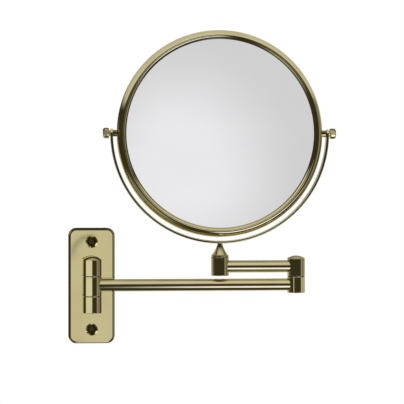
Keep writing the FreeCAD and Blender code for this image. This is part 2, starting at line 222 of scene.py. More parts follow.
class FinishColours(bpy.types.PropertyGroup):
    """Colours of the finishes."""

    brass_pale: colour("Brass pale", "Polished brass where it is cleanest", 0.75, 0.675, 0.38)
    brass_deep: colour("Brass deep", "Polished brass where it has toned", 0.70, 0.62, 0.335)
    plate_pale: colour("Plate pale", "Lacquered plate brass where it is cleanest", 0.77, 0.69, 0.375)
    plate_deep: colour("Plate deep", "Lacquered plate brass where it has toned", 0.72, 0.64, 0.335)
    # Painted shade: this dark brown stands in for the shade inside the wall plate's countersinks; only their added
    # roughness is a real matt finish
    plate_sunk: colour("Plate sunk", "Unpolished brass in the countersinks", 0.27, 0.22, 0.11)
    silver_pale: colour("Silver pale", "Silvered glass", 0.90, 0.902, 0.938)
    silver_deep: colour("Silver deep", "Silvered glass under faint wiping marks", 0.87, 0.872, 0.908)
    zinc_pale: colour("Zinc pale", "Zinc plating", 0.66, 0.67, 0.66)
    zinc_deep: colour("Zinc deep", "Zinc plating where it has dulled", 0.46, 0.46, 0.44)
    nylon_pale: colour("Nylon pale", "Moulded nylon", 0.075, 0.073, 0.068)
    nylon_deep: colour("Nylon deep", "Moulded nylon in its grain", 0.045, 0.044, 0.041)
    board_pale: colour("Board pale", "Hardboard fibres", 0.42, 0.29, 0.17)
    board_deep: colour("Board deep", "Hardboard between its fibres", 0.27, 0.17, 0.09)


class StageSettings(bpy.types.PropertyGroup):
    """Camera, light and floor."""

    azimuth: turn("Azimuth", "How far round the camera stands, to the right of straight ahead", -5.849)
    elevation: turn("Elevation", "How far the camera stands above its aim", 0.258)
    distance: length("Distance", "Camera to its aim", 1858.6)
    aim_x: length("Aim across", "Camera's aim along X", 109.52)
    aim_z: length("Aim height", "Camera's aim along Z", 83.94)
    lens: FloatProperty(
        name="Lens", description="Focal length in millimetres", default=165.63, unit="CAMERA")
    sensor: FloatProperty(
        name="Sensor", description="Width of the sensor in millimetres", default=36.0, unit="CAMERA")
    floor_drop: length("Floor drop", "Floor below the lowest piece", 140.0)
    floor_size: length("Floor size", "Side of the floor", 9000.0)
    # The wall spots are discs that glow a fixed dark colour: painted shade seen through the empty screw holes
    wall_spot: length("Wall spot", "Radius of the shaded wall behind a screw hole", 2.9)
    wall_gap: length("Wall gap", "Gap between the plate's back and the shaded wall", 0.1)
    wall_shade: colour("Wall shade", "Shaded wall behind the screw holes", 0.034, 0.029, 0.014)
    backdrop: colour("Backdrop", "Floor and backdrop", 1.0, 1.0, 1.0)


class MirrorSettings(bpy.types.PropertyGroup):
    """All settings of the mirror."""

    steps: count("Steps", "Facets round a barrel or tube", 96, 24)
    ring_steps: count("Ring steps", "Facets round the mirror's rings", 288, 64)
    round_steps: count("Round steps", "Facets across a rounded edge", 5, 2)
    plate: PointerProperty(type=PlateSizes)
    barrel: PointerProperty(type=BarrelSizes)
    bracket: PointerProperty(type=BracketSizes)
    post: PointerProperty(type=PostSizes)
    yoke: PointerProperty(type=YokeSizes)
    head: PointerProperty(type=HeadSizes)
    pivot: PointerProperty(type=PivotSizes)
    fastener: PointerProperty(type=FastenerSizes)
    colours: PointerProperty(type=FinishColours)
    stage: PointerProperty(type=StageSettings)


def settings():
    """The mirror's settings in this scene."""
    return bpy.context.scene.magnifying_mirror


# Shading

class Shade:
    """A value in a node tree: arithmetic on it adds Math nodes, and node() adds any other node."""

    def __init__(self, tree, socket=None):
        self.tree = tree
        self.socket = socket

    def node(self, kind, options=None, sockets=None, output=0):
        """New node: its options are set first, then its sockets get values or links."""
        made = self.tree.nodes.new(kind)
        for name, value in (options or {}).items():
            setattr(made, name, value)
        for name, value in (sockets or {}).items():
            if isinstance(value, Shade):
                self.tree.links.new(value.socket, made.inputs[name])
            else:
                made.inputs[name].default_value = value
        return Shade(self.tree, made.outputs[output] if made.outputs else None)

    def output(self, name):
        """Another output of the same node."""
        return Shade(self.tree, self.socket.node.outputs[name])

    def maths(self, operation, first, second=0.0):
        """Math node on one or two values."""
        return self.node("ShaderNodeMath", {"operation": operation}, {0: first, 1: second})

    def __add__(self, other):
        return self.maths("ADD", self, other)

    def __radd__(self, other):
        return self.maths("ADD", other, self)

    def __sub__(self, other):
        return self.maths("SUBTRACT", self, other)

    def __rsub__(self, other):
        return self.maths("SUBTRACT", other, self)

    def __mul__(self, other):
        return self.maths("MULTIPLY", self, other)

    def __rmul__(self, other):
        return self.maths("MULTIPLY", other, self)


def rgba(shade):
    """Colour with full alpha, as sockets take it."""
    return (*shade, 1.0)


def noise(place, scale, detail, stretch=None):
    """Noise on object coordinates, about one patch for each 1 / scale metres, drawn out by stretch."""
    if stretch:
        place = place.node("ShaderNodeMapping", None, {"Vector": place, "Scale": stretch})
    return place.node("ShaderNodeTexNoise", None, {"Vector": place, "Scale": scale, "Detail": detail}, "Fac")


def split(vector):
    """The three parts of a vector."""
    x = vector.node("ShaderNodeSeparateXYZ", None, {"Vector": vector}, "X")
    return x, x.output("Y"), x.output("Z")


def away_from(x, y):
    """Distance of a place from the point where x and y are 0."""
    return x.maths("SQRT", x * x + y * y)


def contrast(value, low, high):
    """Value spread so that low becomes 0 and high becomes 1."""
    return value.node("ShaderNodeMapRange", {"interpolation_type": "SMOOTHSTEP"},
                      {"Value": value, "From Min": low, "From Max": high})


# Sockets of a Mix node that mixes colours
MIX_FACTOR, MIX_FIRST, MIX_SECOND, MIX_RESULT = 0, 6, 7, 2


def mix(factor, first, second, blend="MIX"):
    """First colour, or shade, where factor is 0, and second colour, mixed or added, where it is 1."""
    first = first if isinstance(first, Shade) else rgba(first)
    sockets = {MIX_FACTOR: factor, MIX_FIRST: first, MIX_SECOND: rgba(second)}
    return factor.node("ShaderNodeMix", {"data_type": "RGBA", "blend_type": blend}, sockets, MIX_RESULT)


def emptied(owner):
    """Start of the node tree of a new material, world or light."""
    owner.use_nodes = True
    owner.node_tree.nodes.clear()
    return Shade(owner.node_tree)


def finish(name):
    """Empty material and the object coordinates that its pattern starts from."""
    material = bpy.data.materials.new(name)
    return material, emptied(material).node("ShaderNodeTexCoord", output="Object")


def surface(place, **sockets):
    """Ends a material in one surface shader; a socket's name is given with _ for each space."""
    named = {name.replace("_", " "): value for name, value in sockets.items()}
    shader = place.node("ShaderNodeBsdfPrincipled", None, named)
    place.node("ShaderNodeOutputMaterial", None, {"Surface": shader})


def bump(height, strength, distance):
    """Normal of a surface that stands proud by distance where height is 1."""
    sockets = {"Height": height, "Strength": strength, "Distance": distance}
    return height.node("ShaderNodeBump", None, sockets)


def buffed_brass(colours):
    """Buffed brass: soft toning, handling marks in its gloss and hair-fine polishing lines."""
    material, place = finish("buffed_brass")
    toning = contrast(noise(place, scale=38.0, detail=4.0), low=0.35, high=0.7)
    marks = contrast(noise(place, scale=120.0, detail=5.0), low=0.45, high=0.75)
    lines = contrast(noise(place, scale=1.0, detail=3.0, stretch=(2600.0, 2600.0, 140.0)), low=0.5, high=0.8)
    surface(
        place,
        Base_Color=mix(toning, colours.brass_pale, colours.brass_deep),
        Metallic=1.0,
        Roughness=0.014 + toning * 0.008 + marks * 0.012 + lines * 0.008,
        Normal=bump(lines, strength=0.02, distance=0.02 * MM),
    )
    return material


# Where the painted shade in the countersinks fades, from full to none, before it comes to the plate's back
SINK_SHADE_FADE = -0.6 * MM, -0.2 * MM


def in_countersinks(place, sizes):
    """1 inside the lips of the wall plate's countersinks, where shade is painted, and 0 elsewhere."""
    x, y, z = split(place)
    above = x.maths("ABSOLUTE", z) - SCREW_SPACING / 2
    inside = sizes.countersink_radius - sizes.lip_width
    near = 1 - contrast(away_from(x, above), inside - SEAM, inside + SEAM)
    return near * (1 - contrast(y, *SINK_SHADE_FADE))


def lacquered_brass(colours):
    """Satin-polished brass under lacquer: upright brushing, soft toning, orange peel, and painted shade in the
    countersinks, which are also rougher.
    """
    material, place = finish("lacquered_brass")
    sink_shade = in_countersinks(place, settings().plate)
    toning = contrast(noise(place, scale=24.0, detail=3.0), low=0.35, high=0.7)
    brushing = noise(place, scale=1.0, detail=4.0, stretch=(1900.0, 1900.0, 55.0))
    peel = noise(place, scale=420.0, detail=1.0)
    surface(
        place,
        # Painted shade: the countersinks are darkened to brown; the added roughness below is a real matt finish
        Base_Color=mix(sink_shade, mix(toning, colours.plate_pale, colours.plate_deep), colours.plate_sunk),
        Metallic=1.0,
        Roughness=0.026 + toning * 0.01 + brushing * 0.014 + sink_shade * 0.3,
        Coat_Weight=0.15,
        Coat_Roughness=0.04,
        Normal=bump(brushing + peel, strength=0.03, distance=0.02 * MM),
    )
    return material


def silvered_glass(colours):
    """Silvered glass with faint wiping marks."""
    material, place = finish("silvered_glass")
    wiping = contrast(noise(place, scale=9.0, detail=3.0, stretch=(1.0, 1.0, 2.2)), low=0.4, high=0.75)
    specks = contrast(noise(place, scale=900.0, detail=1.0), low=0.72, high=0.8)
    surface(
        place,
        Base_Color=mix(wiping, colours.silver_pale, colours.silver_deep),
        Metallic=1.0,
        Roughness=0.012 + wiping * 0.008 + specks * 0.02,
        Coat_Weight=0.25,
        Coat_Roughness=0.01,
    )
    return material


def zinc_steel(colours):
    """Zinc-plated steel with a cloudy, slightly grainy skin."""
    material, place = finish("zinc_steel")
    clouds = contrast(noise(place, scale=260.0, detail=4.0), low=0.3, high=0.7)
    grain = noise(place, scale=2400.0, detail=2.0)
    surface(
        place,
        Base_Color=mix(clouds, colours.zinc_pale, colours.zinc_deep),
        Metallic=1.0,
        Roughness=0.28 + clouds * 0.14 + grain * 0.06,
        Normal=bump(grain, strength=0.1, distance=0.03 * MM),
    )
    return material


def moulded_nylon(colours):
    """Dark moulded nylon with a fine matt grain."""
    material, place = finish("moulded_nylon")
    grain = noise(place, scale=1500.0, detail=3.0)
    surface(
        place,
        Base_Color=mix(contrast(grain, low=0.35, high=0.65), colours.nylon_pale, colours.nylon_deep),
        Roughness=0.42 + grain * 0.16,
        Normal=bump(grain, strength=0.15, distance=0.04 * MM),
    )
    return material


def hardboard(colours):
    """Pressed fibreboard: matted fibres with darker hollows."""
    material, place = finish("hardboard")
    fibres = noise(place, scale=1.0, detail=5.0, stretch=(900.0, 240.0, 380.0))
    surface(
        place,
        Base_Color=mix(contrast(fibres, low=0.3, high=0.7), colours.board_deep, colours.board_pale),
        Roughness=0.8 + fibres * 0.12,
        Normal=bump(fibres, strength=0.4, distance=0.1 * MM),
    )
    return material


FINISHES = {
    "plate_brass": lacquered_brass,
    "polished_brass": buffed_brass,
    "mirror_glass": silvered_glass,
    "steel": zinc_steel,
    "nylon": moulded_nylon,
    "fibreboard": hardboard,
}


def material_for(node):
    """The finish of a node's slot, made when it is first asked for."""
    make = FINISHES[SLOT_OF[node]]
    return bpy.data.materials.get(make.__name__) or make(settings().colours)


# Shapes

SHARP_FROM = math.radians(25)
# Facets along the longer curves, as multiples of the facets across a rounded edge
PLATE_CORNER_FACETS = 3
DOME_FACETS = 3
TAB_FACETS = 2
BAND_FACETS = 5
BEAD_FACETS = 2
DISH_FACETS = 8


def tidy(bm):
    """Closes a shape's seams and turns its faces outwards."""
    bmesh.ops.remove_doubles(bm, verts=bm.verts, dist=SEAM)
    bmesh.ops.recalc_face_normals(bm, faces=bm.faces)
    return bm


def soften(bm, geom, offset, affect="EDGES", steps=None):
    """Rounds edges of a shape or, with VERTICES, corners of an outline."""
    bmesh.ops.bevel(bm, geom=geom, offset=offset, offset_type="OFFSET", affect=affect,
                    segments=steps or settings().round_steps, profile=0.5, material=-1)


def outline(corners, closed=False):
    """Outline in the XZ plane from corners of radius, height and, where the corner is rounded, its round."""
    bm = bmesh.new()
    verts = [bm.verts.new((corner[0], 0, corner[1])) for corner in corners]
    ends = zip(verts, verts[1:] + verts[:1]) if closed else zip(verts, verts[1:])
    for pair in ends:
        bm.edges.new(pair)
    for vert, (_radius, _height, *rounding) in zip(verts, corners):
        if rounding:
            soften(bm, [vert], rounding[0], "VERTICES")
    return bm


def turned(corners, closed=False, steps=None):
    """Solid turned about Z: an open outline starts and ends on the axis, a closed one makes a ring."""
    bm = outline(corners, closed)
    bmesh.ops.spin(bm, geom=bm.verts[:] + bm.edges[:], cent=(0, 0, 0), axis=UP, angle=math.tau,
                   steps=steps or settings().steps, use_merge=True)
    return tidy(bm)


def laid(bm, origin, axis=UP):
    """Shape made along +Z from the origin, moved to origin and laid along axis."""
    turn_to_axis = UP.rotation_difference(axis).to_matrix().to_4x4()
    bmesh.ops.transform(bm, matrix=Matrix.Translation(origin) @ turn_to_axis, verts=bm.verts)
    return bm


def rod(radius, start, end):
    """Plain round bar between two points, for cutting holes and stubs."""
    bm = turned([(0, 0), (radius, 0), (radius, (end - start).length), (0, (end - start).length)])
    return laid(bm, start, (end - start).normalized())


def box_between(low, high):
    """Plain box between two corners."""
    bm = bmesh.new()
    bmesh.ops.create_cube(bm, size=1)
    bmesh.ops.scale(bm, vec=high - low, verts=bm.verts)
    bmesh.ops.translate(bm, vec=(low + high) / 2, verts=bm.verts)
    return bm


def block(low, high, soft):
    """Box between two corners with softened edges."""
    bm = box_between(low, high)
    soften(bm, bm.edges[:], soft)
    return tidy(bm)


def hexagon(corner, depth):
    """Hexagonal bar along Z, with the origin in its middle."""
    bm = bmesh.new()
    bmesh.ops.create_cone(bm, cap_ends=True, segments=6, radius1=corner, radius2=corner, depth=depth)
    return bm


def countersink(sink, hole, depth, lip=()):
    """Tool that cuts a hole along +Z, countersunk at the origin; depth takes it clear of the piece."""
    return turned([(0, -depth), (sink, -depth), (sink, 0), *lip, (hole, sink - hole),
                   (hole, 2 * depth), (0, 2 * depth)])


def stand_in_scene(name, bm):
    """Object that holds a shape, linked to the scene."""
    mesh = bpy.data.meshes.new(name)
    bm.to_mesh(mesh)
    bm.free()
    piece = bpy.data.objects.new(name, mesh)
    bpy.context.scene.collection.objects.link(piece)
    return piece


def combined(bm, other, operation):
    """One shape united with, cut by or kept within another: UNION, DIFFERENCE or INTERSECT."""
    kept, tool = stand_in_scene("kept", bm), stand_in_scene("tool", other)
    joining = kept.modifiers.new("joining", "BOOLEAN")
    joining.operation = operation
    joining.solver = "EXACT"
    joining.object = tool
    result = bmesh.new()
    result.from_object(kept, bpy.context.evaluated_depsgraph_get())
    for used in (kept, tool):
        bpy.data.meshes.remove(used.data)
    if not result.faces:
        raise RuntimeError(f"{operation} left nothing of the shape")
    return tidy(result)


def united(bm, *others):
    """Shape united with others, one after the other."""
    for other in others:
        bm = combined(bm, other, "UNION")
    return bm


def cut(bm, *tools):
    """Shape cut by tools, one after the other."""
    for tool in tools:
        bm = combined(bm, tool, "DIFFERENCE")
    return bm


def finished(node, bm):
    """Piece that shows in a node's place: smooth, in the node's finish, and riding on the node's body."""
    piece = stand_in_scene(node + "_finished", bm)
    piece.data.shade_smooth()
    piece.data.set_sharp_from_angle(angle=SHARP_FROM)
    normals = piece.modifiers.new("flat faces stay flat", "WEIGHTED_NORMAL")
    normals.keep_sharp = True
    piece.data.materials.append(material_for(node))
    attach(piece, BODY_OF[node])
    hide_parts(node)


def foot(axis):
    """Place on an upright axis, at the height of the frame's origin."""
    return Vector((axis.x, axis.y, 0))


def heights(node):
    """Lowest and highest place of a node."""
    low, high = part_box(node)
    return low.z, high.z


def half_height(node):
    """Half a node's height, which is the radius of a round one that lies across."""
    low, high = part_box(node)
    return (high.z - low.z) / 2


def middle(node):
    """Middle of a node's box."""
    low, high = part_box(node)
    return (low + high) / 2


def barrel_radius():
    """The turning knuckle's left side is bare, so its reach from the hinge's axis is the barrels' radius."""
    return JOINT_AT["wall_hinge"].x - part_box("inner_arm_knuckle")[0].x


def barrel(axis, low, high, bore, pocket=False):
    """Barrel round an upright axis, with its bore and, below, a pocket for a nut."""
    sizes = settings().barrel
    radius, soft = barrel_radius(), sizes.edge_round
    corners = [(radius, low, soft), (radius, high, soft), (bore, high)]
    if pocket:
        floor = low + sizes.pocket_depth
        corners += [(bore, floor), (sizes.pocket_radius, floor), (sizes.pocket_radius, low)]
    else:
        corners += [(bore, low)]
    return laid(turned(corners, closed=True), foot(axis))


def spigot(axis, tube, towards):
    """Stub from a barrel's wall into the end of a tube."""
    sizes = settings().barrel
    start = Vector((axis.x + towards * sizes.spigot_root, axis.y, middle(tube).z))
    reach = barrel_radius() + sizes.spigot_length - sizes.spigot_root
    return rod(sizes.spigot_radius, start, start + RIGHT * towards * reach)


def domed_pin(node, barrel_top):
    """Pin whose shallow domed head covers the top of its barrel."""
    sizes = settings().barrel
    low, high = heights(node)
    radius, rise = barrel_radius(), high - barrel_top
    ball = (radius**2 + rise**2) / (2 * rise)
    widest = math.asin(radius / ball)
    steps = settings().round_steps * DOME_FACETS
    turns = [widest * (1 - step / steps) for step in range(steps + 1)]
    dome = [(ball * math.sin(angle), high - ball * (1 - math.cos(angle))) for angle in turns]
    shank = [(0, low), (sizes.pin_radius, low, sizes.tip_chamfer), (sizes.pin_radius, barrel_top)]
    finished(node, laid(turned(shank + dome), foot(middle(node))))


def coped_tube(node, left, right):
    """Arm tube between two upright barrels, its ends cut to lie round them."""
    sizes = settings().barrel
    outer = half_height(node)
    inner = outer - sizes.tube_wall
    across = right.x - left.x
    bm = turned([(outer, 0), (outer, across), (inner, across), (inner, 0)], closed=True)
    laid(bm, Vector((left.x, left.y, middle(node).z)), RIGHT)
    reach = barrel_radius() + sizes.tube_gap
    for vert in bm.verts:
        set_in = math.sqrt(reach**2 - (vert.co.y - left.y)**2)
        nearer_left = vert.co.x < (left.x + right.x) / 2
        vert.co.x = left.x + set_in if nearer_left else right.x - set_in
    finished(node, bm)


def countersunk_screw(origin, axis, head_radius, shank_radius, reach):
    """Countersunk screw with a hexagon key socket, its head's flat at origin."""
    sizes = settings().fastener
    chamfer = settings().barrel.tip_chamfer
    bm = turned([(0, 0), (head_radius, 0), (shank_radius, head_radius - shank_radius),
                 (shank_radius, reach, chamfer), (0, reach)])
    key = hexagon(sizes.socket_share * head_radius, 2 * sizes.socket_depth_share * head_radius)
    return laid(cut(bm, key), origin, axis)


# Pieces

class PieceOperator:
    """What the operators that make pieces have in common."""

    bl_options = {"REGISTER", "UNDO"}

    def execute(self, context):
        self.make(settings())
        return {"FINISHED"}


class MIRROR_OT_wall_plate(PieceOperator, bpy.types.Operator):
    """Wall plate with rounded edges, two countersunk wall-screw holes and its bracket screws"""

    bl_idname = "magnifying_mirror.wall_plate"
    bl_label = "Wall Plate"

    def make(self, chosen):
        sizes = chosen.plate
        low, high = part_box("backplate")
        thick = high.y - low.y
        bm = box_between(low, high)
        corners = [edge for edge in bm.edges if abs(edge.verts[0].co.y - edge.verts[1].co.y) > SEAM]
        soften(bm, corners, sizes.corner_round, steps=chosen.round_steps * PLATE_CORNER_FACETS)
        rim = [edge for edge in bm.edges if all(vert.co.y < low.y + SEAM for vert in edge.verts)]
        soften(bm, rim, sizes.edge_round)
        sink = sizes.countersink_radius
        inside = sink - sizes.lip_width
        lip = [(inside, sizes.lip_depth), (inside, sizes.lip_depth + sizes.lip_step)]
        for z in (-SCREW_SPACING / 2, SCREW_SPACING / 2):
            tool = countersink(sink, SCREW_HOLE_RADIUS, thick, lip)
            bm = cut(bm, laid(tool, Vector((0, low.y, z)), -FRONT))
        screw_low, screw_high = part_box("bracket_screws")
        head = (screw_high.x - screw_low.x) / 2
        reach = screw_high.y - screw_low.y
        screws = []
        for z in (screw_low.z + head, screw_high.z - head):
            mouth = Vector((0, high.y, z))
            tool = countersink(sizes.bracket_sink_radius, sizes.bracket_hole_radius, thick)
            bm = cut(bm, laid(tool, mouth, FRONT))
            shank = chosen.fastener.bracket_shank_radius
            screws.append(countersunk_screw(mouth, FRONT, head, shank, reach))
        finished("backplate", bm)
        finished("bracket_screws", united(*screws))


class MIRROR_OT_wall_hinge(PieceOperator, bpy.types.Operator):
    """Bracket with its two fixed knuckles, the turning knuckle between them and the domed pin"""

    bl_idname = "magnifying_mirror.wall_hinge"
    bl_label = "Wall Hinge"

    def make(self, chosen):
        axis = JOINT_AT["wall_hinge"]
        bore = chosen.barrel.pin_radius + chosen.barrel.pin_gap
        low, high = heights("hinge_bracket")
        joint_low, joint_high = heights("hinge_washers")
        lower = barrel(axis, low, joint_low, bore, pocket=True)
        upper = barrel(axis, joint_high, high, bore)
        sizes = chosen.bracket
        half, soft, plate = sizes.spine_width / 2, sizes.spine_round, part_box("backplate")[0].y
        edge = chosen.barrel.edge_round
        clear = axis.y + barrel_radius() + sizes.spine_gap
        rooted = axis.y + chosen.barrel.spigot_root
        spine = block(Vector((-half, clear, low + edge)), Vector((half, plate, high - edge)), soft)
        webs = [block(Vector((-half, rooted, bottom + edge)), Vector((half, plate, top - edge)), soft)
                for bottom, top in ((low, joint_low), (joint_high, high))]
        finished("hinge_bracket", united(spine, *webs, lower, upper))
        bottom, top = heights("inner_arm_knuckle")
        knuckle = barrel(axis, bottom, top, chosen.barrel.bush_radius)
        finished("inner_arm_knuckle", united(knuckle, spigot(axis, "inner_arm_tube", 1)))
        domed_pin("hinge_pin", high)


class MIRROR_OT_arm_tubes(PieceOperator, bpy.types.Operator):
    """The long lower tube and the short upper one, coped round their barrels"""

    bl_idname = "magnifying_mirror.arm_tubes"
    bl_label = "Arm Tubes"

    def make(self, chosen):
        elbow = JOINT_AT["elbow_hinge"]
        coped_tube("inner_arm_tube", JOINT_AT["wall_hinge"], elbow)
        coped_tube("outer_arm_tube", JOINT_AT["yoke_swivel"], elbow)


class MIRROR_OT_elbow(PieceOperator, bpy.types.Operator):
    """Two barrels, one on the other, under a domed pin"""

    bl_idname = "magnifying_mirror.elbow"
    bl_label = "Elbow"

    def make(self, chosen):
        axis = JOINT_AT["elbow_hinge"]
        bore = chosen.barrel.pin_radius + chosen.barrel.pin_gap
        lower = barrel(axis, *heights("elbow_lower_barrel"), bore, pocket=True)
        finished("elbow_lower_barrel", united(lower, spigot(axis, "inner_arm_tube", -1)))
        upper = barrel(axis, *heights("elbow_upper_barrel"), bore)
        finished("elbow_upper_barrel", united(upper, spigot(axis, "outer_arm_tube", -1)))
        domed_pin("elbow_pin", heights("elbow_upper_barrel")[1])


# The cone under the yoke narrows quickly at its foot and slowly above
FLARE_STEPS = 10
FLARE_POWER = 1.5


class MIRROR_OT_swivel(PieceOperator, bpy.types.Operator):
    """Barrel at the mirror's end of the arm, and the collar, cone and neck that turn in it"""

    bl_idname = "magnifying_mirror.swivel"
    bl_label = "Swivel"

    def make(self, chosen):
        axis = JOINT_AT["yoke_swivel"]
        pin = chosen.barrel.pin_radius
        body = barrel(axis, *heights("swivel_barrel"), pin + chosen.barrel.pin_gap, pocket=True)
        finished("swivel_barrel", united(body, spigot(axis, "outer_arm_tube", 1)))
        sizes, radius, soft = chosen.post, barrel_radius(), chosen.barrel.edge_round
        low, high = heights("swivel_post")
        collar = heights("swivel_washer")[1]
        cone = collar + sizes.collar_height
        neck = cone + sizes.cone_height
        top, spread = sizes.cone_top_radius, sizes.cone_base_radius - sizes.cone_top_radius
        upwards = [step / FLARE_STEPS for step in range(FLARE_STEPS + 1)]
        flare = [(top + spread * (1 - up) ** FLARE_POWER, cone + sizes.cone_height * up) for up in upwards]
        bm = turned([
            (0, low), (pin, low, chosen.barrel.tip_chamfer), (pin, collar), (radius, collar, soft),
            (radius, cone, sizes.collar_round), *flare,
            (sizes.neck_radius, neck), (sizes.neck_radius, high), (sizes.thread_radius, high),
            (sizes.thread_radius, high - sizes.thread_depth), (0, high - sizes.thread_depth),
        ])
        finished("swivel_post", laid(bm, foot(axis)))


class MIRROR_OT_yoke(PieceOperator, bpy.types.Operator):
    """Strip bent to a half circle with rounded ends, and the screw that holds it"""

    bl_idname = "magnifying_mirror.yoke"
    bl_label = "Yoke"

    def make(self, chosen):
        sizes = chosen.yoke
        centre = JOINT_AT["mirror_tilt"]
        low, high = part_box("yoke")
        outer = centre.z - low.z
        inner = outer - sizes.thickness
        half = (high.y - low.y) / 2
        soft = sizes.edge_round
        corners = [(inner, -half, soft), (outer, -half, soft), (outer, half, soft), (inner, half, soft)]
        bm = outline(corners, closed=True)
        bmesh.ops.spin(bm, geom=bm.verts[:] + bm.edges[:], cent=(0, 0, 0), axis=UP, angle=-math.pi,
                       steps=chosen.ring_steps // 2)
        for side in (1, -1):
            self.round_end(bm, side, half, chosen.round_steps * TAB_FACETS)
        laid(tidy(bm), centre, FRONT)
        through = RIGHT * 2 * outer
        seat = RIGHT * (inner + sizes.seat_depth)
        bm = cut(bm,
                 rod(sizes.pivot_hole_radius, centre - through, centre + through),
                 rod(half, centre - seat, centre + seat))
        tool = countersink(sizes.screw_sink_radius, sizes.screw_hole_radius, sizes.screw_sink_radius)
        finished("yoke", cut(bm, laid(tool, centre - UP * inner, -UP)))
        screw_low, screw_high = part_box("yoke_screw")
        head = (screw_high.x - screw_low.x) / 2
        top = Vector((centre.x, centre.y, screw_high.z))
        finished("yoke_screw", countersunk_screw(top, -UP, head, chosen.fastener.yoke_shank_radius,
                                                 screw_high.z - screw_low.z))

    def round_end(self, bm, side, half, steps):
        """Draws one open end of the half ring out to a round tab, as far as the strip's half width."""
        rim = [edge for edge in bm.edges
               if edge.is_boundary and all(vert.co.x * side > 0 for vert in edge.verts)]
        before = 0.0
        for step in range(1, steps + 1):
            angle = step / steps * math.pi / 2
            drawn = bmesh.ops.extrude_edge_only(bm, edges=rim)["geom"]
            verts = [item for item in drawn if isinstance(item, bmesh.types.BMVert)]
            rim = [item for item in drawn if isinstance(item, bmesh.types.BMEdge)]
            narrower = math.cos(angle) / math.cos(before)
            bmesh.ops.scale(bm, vec=(1, 1, narrower), verts=verts)
            bmesh.ops.translate(bm, vec=(0, half * (math.sin(angle) - math.sin(before)), 0), verts=verts)
            before = angle


# Slopes of a retaining ring's round, at its outer edge and where it falls to the lip
BEAD_SLOPES = math.radians(8), math.radians(40)


class MIRROR_OT_mirror_head(PieceOperator, bpy.types.Operator):
    """Rounded frame, the beads that hold the glasses, the concave front glass and the flat rear one"""

    bl_idname = "magnifying_mirror.mirror_head"
    bl_label = "Mirror Head"

    def make(self, chosen):
        self.frame_ring(chosen)
        self.bead(chosen, "front_retaining_ring", 1)
        self.bead(chosen, "rear_retaining_ring", -1)
        self.concave_glass(chosen)
        self.plain_glass(chosen)

    def frame_ring(self, chosen):
        """Bulging band with narrow rounded edges, and seats for the bosses."""
        sizes = chosen.head
        centre = JOINT_AT["mirror_tilt"]
        low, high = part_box("mirror_frame")
        outer, half = high.z - centre.z, (high.y - low.y) / 2
        bore = outer - sizes.frame_band
        crest = bore + sizes.frame_crest
        bulge = outer - crest
        curve = (half**2 + bulge**2) / (2 * bulge)
        widest = math.asin(half / curve)
        steps = chosen.round_steps * BAND_FACETS
        band = []
        for step in range(1, steps):
            angle = widest * (2 * step / steps - 1)
            band.append((outer - curve * (1 - math.cos(angle)), curve * math.sin(angle)))
        soft = sizes.crest_round
        corners = [(bore, -half, soft), (crest, -half, soft), *band, (crest, half, soft), (bore, half, soft)]
        bm = laid(turned(corners, closed=True, steps=chosen.ring_steps), centre, FRONT)
        boss = half_height("left_pivot_boss") + sizes.seat_gap
        stub = chosen.pivot.boss_spigot_radius + sizes.seat_gap
        for side in (RIGHT, -RIGHT):
            seat = centre + side * (outer - sizes.seat_depth)
            bm = cut(bm, rod(boss, seat, centre + side * 2 * outer),
                     rod(stub, seat - side * chosen.pivot.boss_spigot_length, centre + side * outer))
        finished("mirror_frame", bm)

    def bead(self, chosen, node, towards):
        """Retaining ring, rounded outside, with a flat lip next to the glass."""
        sizes = chosen.head
        centre = JOINT_AT["mirror_tilt"]
        low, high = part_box(node)
        outer = high.z - centre.z
        inner = outer - sizes.bead_width
        depth = high.y - low.y
        flat, steep = BEAD_SLOPES
        steps = chosen.round_steps * BEAD_FACETS
        slopes = [flat + (steep - flat) * step / steps for step in range(steps + 1)]
        crown = [
            (outer - sizes.bead_round * (math.sin(slope) - math.sin(flat)),
             depth - sizes.bead_round * (math.cos(flat) - math.cos(slope)))
            for slope in slopes
        ]
        ledge = inner + sizes.bead_lip_width, sizes.bead_land + sizes.bead_lip_rise
        lip = [ledge, (inner, sizes.bead_land)]
        bm = turned([(inner, 0), (outer, 0), *crown, *lip], closed=True, steps=chosen.ring_steps)
        seat = high.y if towards > 0 else low.y
        finished(node, laid(bm, Vector((centre.x, seat, centre.z)), FRONT * towards))

    def concave_glass(self, chosen):
        """Glass dished alike at the front and the back, with a ground edge."""
        sizes = chosen.head
        centre = JOINT_AT["mirror_tilt"]
        low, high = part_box("magnifying_glass")
        radius = high.z - centre.z
        sag = high.y - low.y - sizes.glass_thickness
        curve = (radius**2 + sag**2) / (2 * sag)
        steps = chosen.round_steps * DISH_FACETS
        reaches = [radius * step / steps for step in range(steps + 1)]
        dish = [(reach, curve - math.sqrt(curve**2 - reach**2)) for reach in reaches]
        rim = dish.pop()
        back = [(reach, rise - sizes.glass_thickness) for reach, rise in reversed(dish)]
        edge = [(*rim, sizes.ground_edge), (rim[0], rim[1] - sizes.glass_thickness, sizes.ground_edge)]
        bm = turned(dish + edge + back, steps=chosen.ring_steps)
        middle_front = high.y - sizes.glass_thickness
        finished("magnifying_glass", laid(bm, Vector((centre.x, middle_front, centre.z)), FRONT))

    def plain_glass(self, chosen):
        """Flat disc with ground edges."""
        sizes = chosen.head
        centre = JOINT_AT["mirror_tilt"]
        low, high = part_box("flat_glass")
        radius, soft = high.z - centre.z, sizes.ground_edge
        depth = high.y - low.y
        corners = [(0, 0), (radius, 0, soft), (radius, depth, soft), (0, depth)]
        bm = turned(corners, steps=chosen.ring_steps)
        finished("flat_glass", laid(bm, Vector((centre.x, high.y, centre.z)), FRONT))


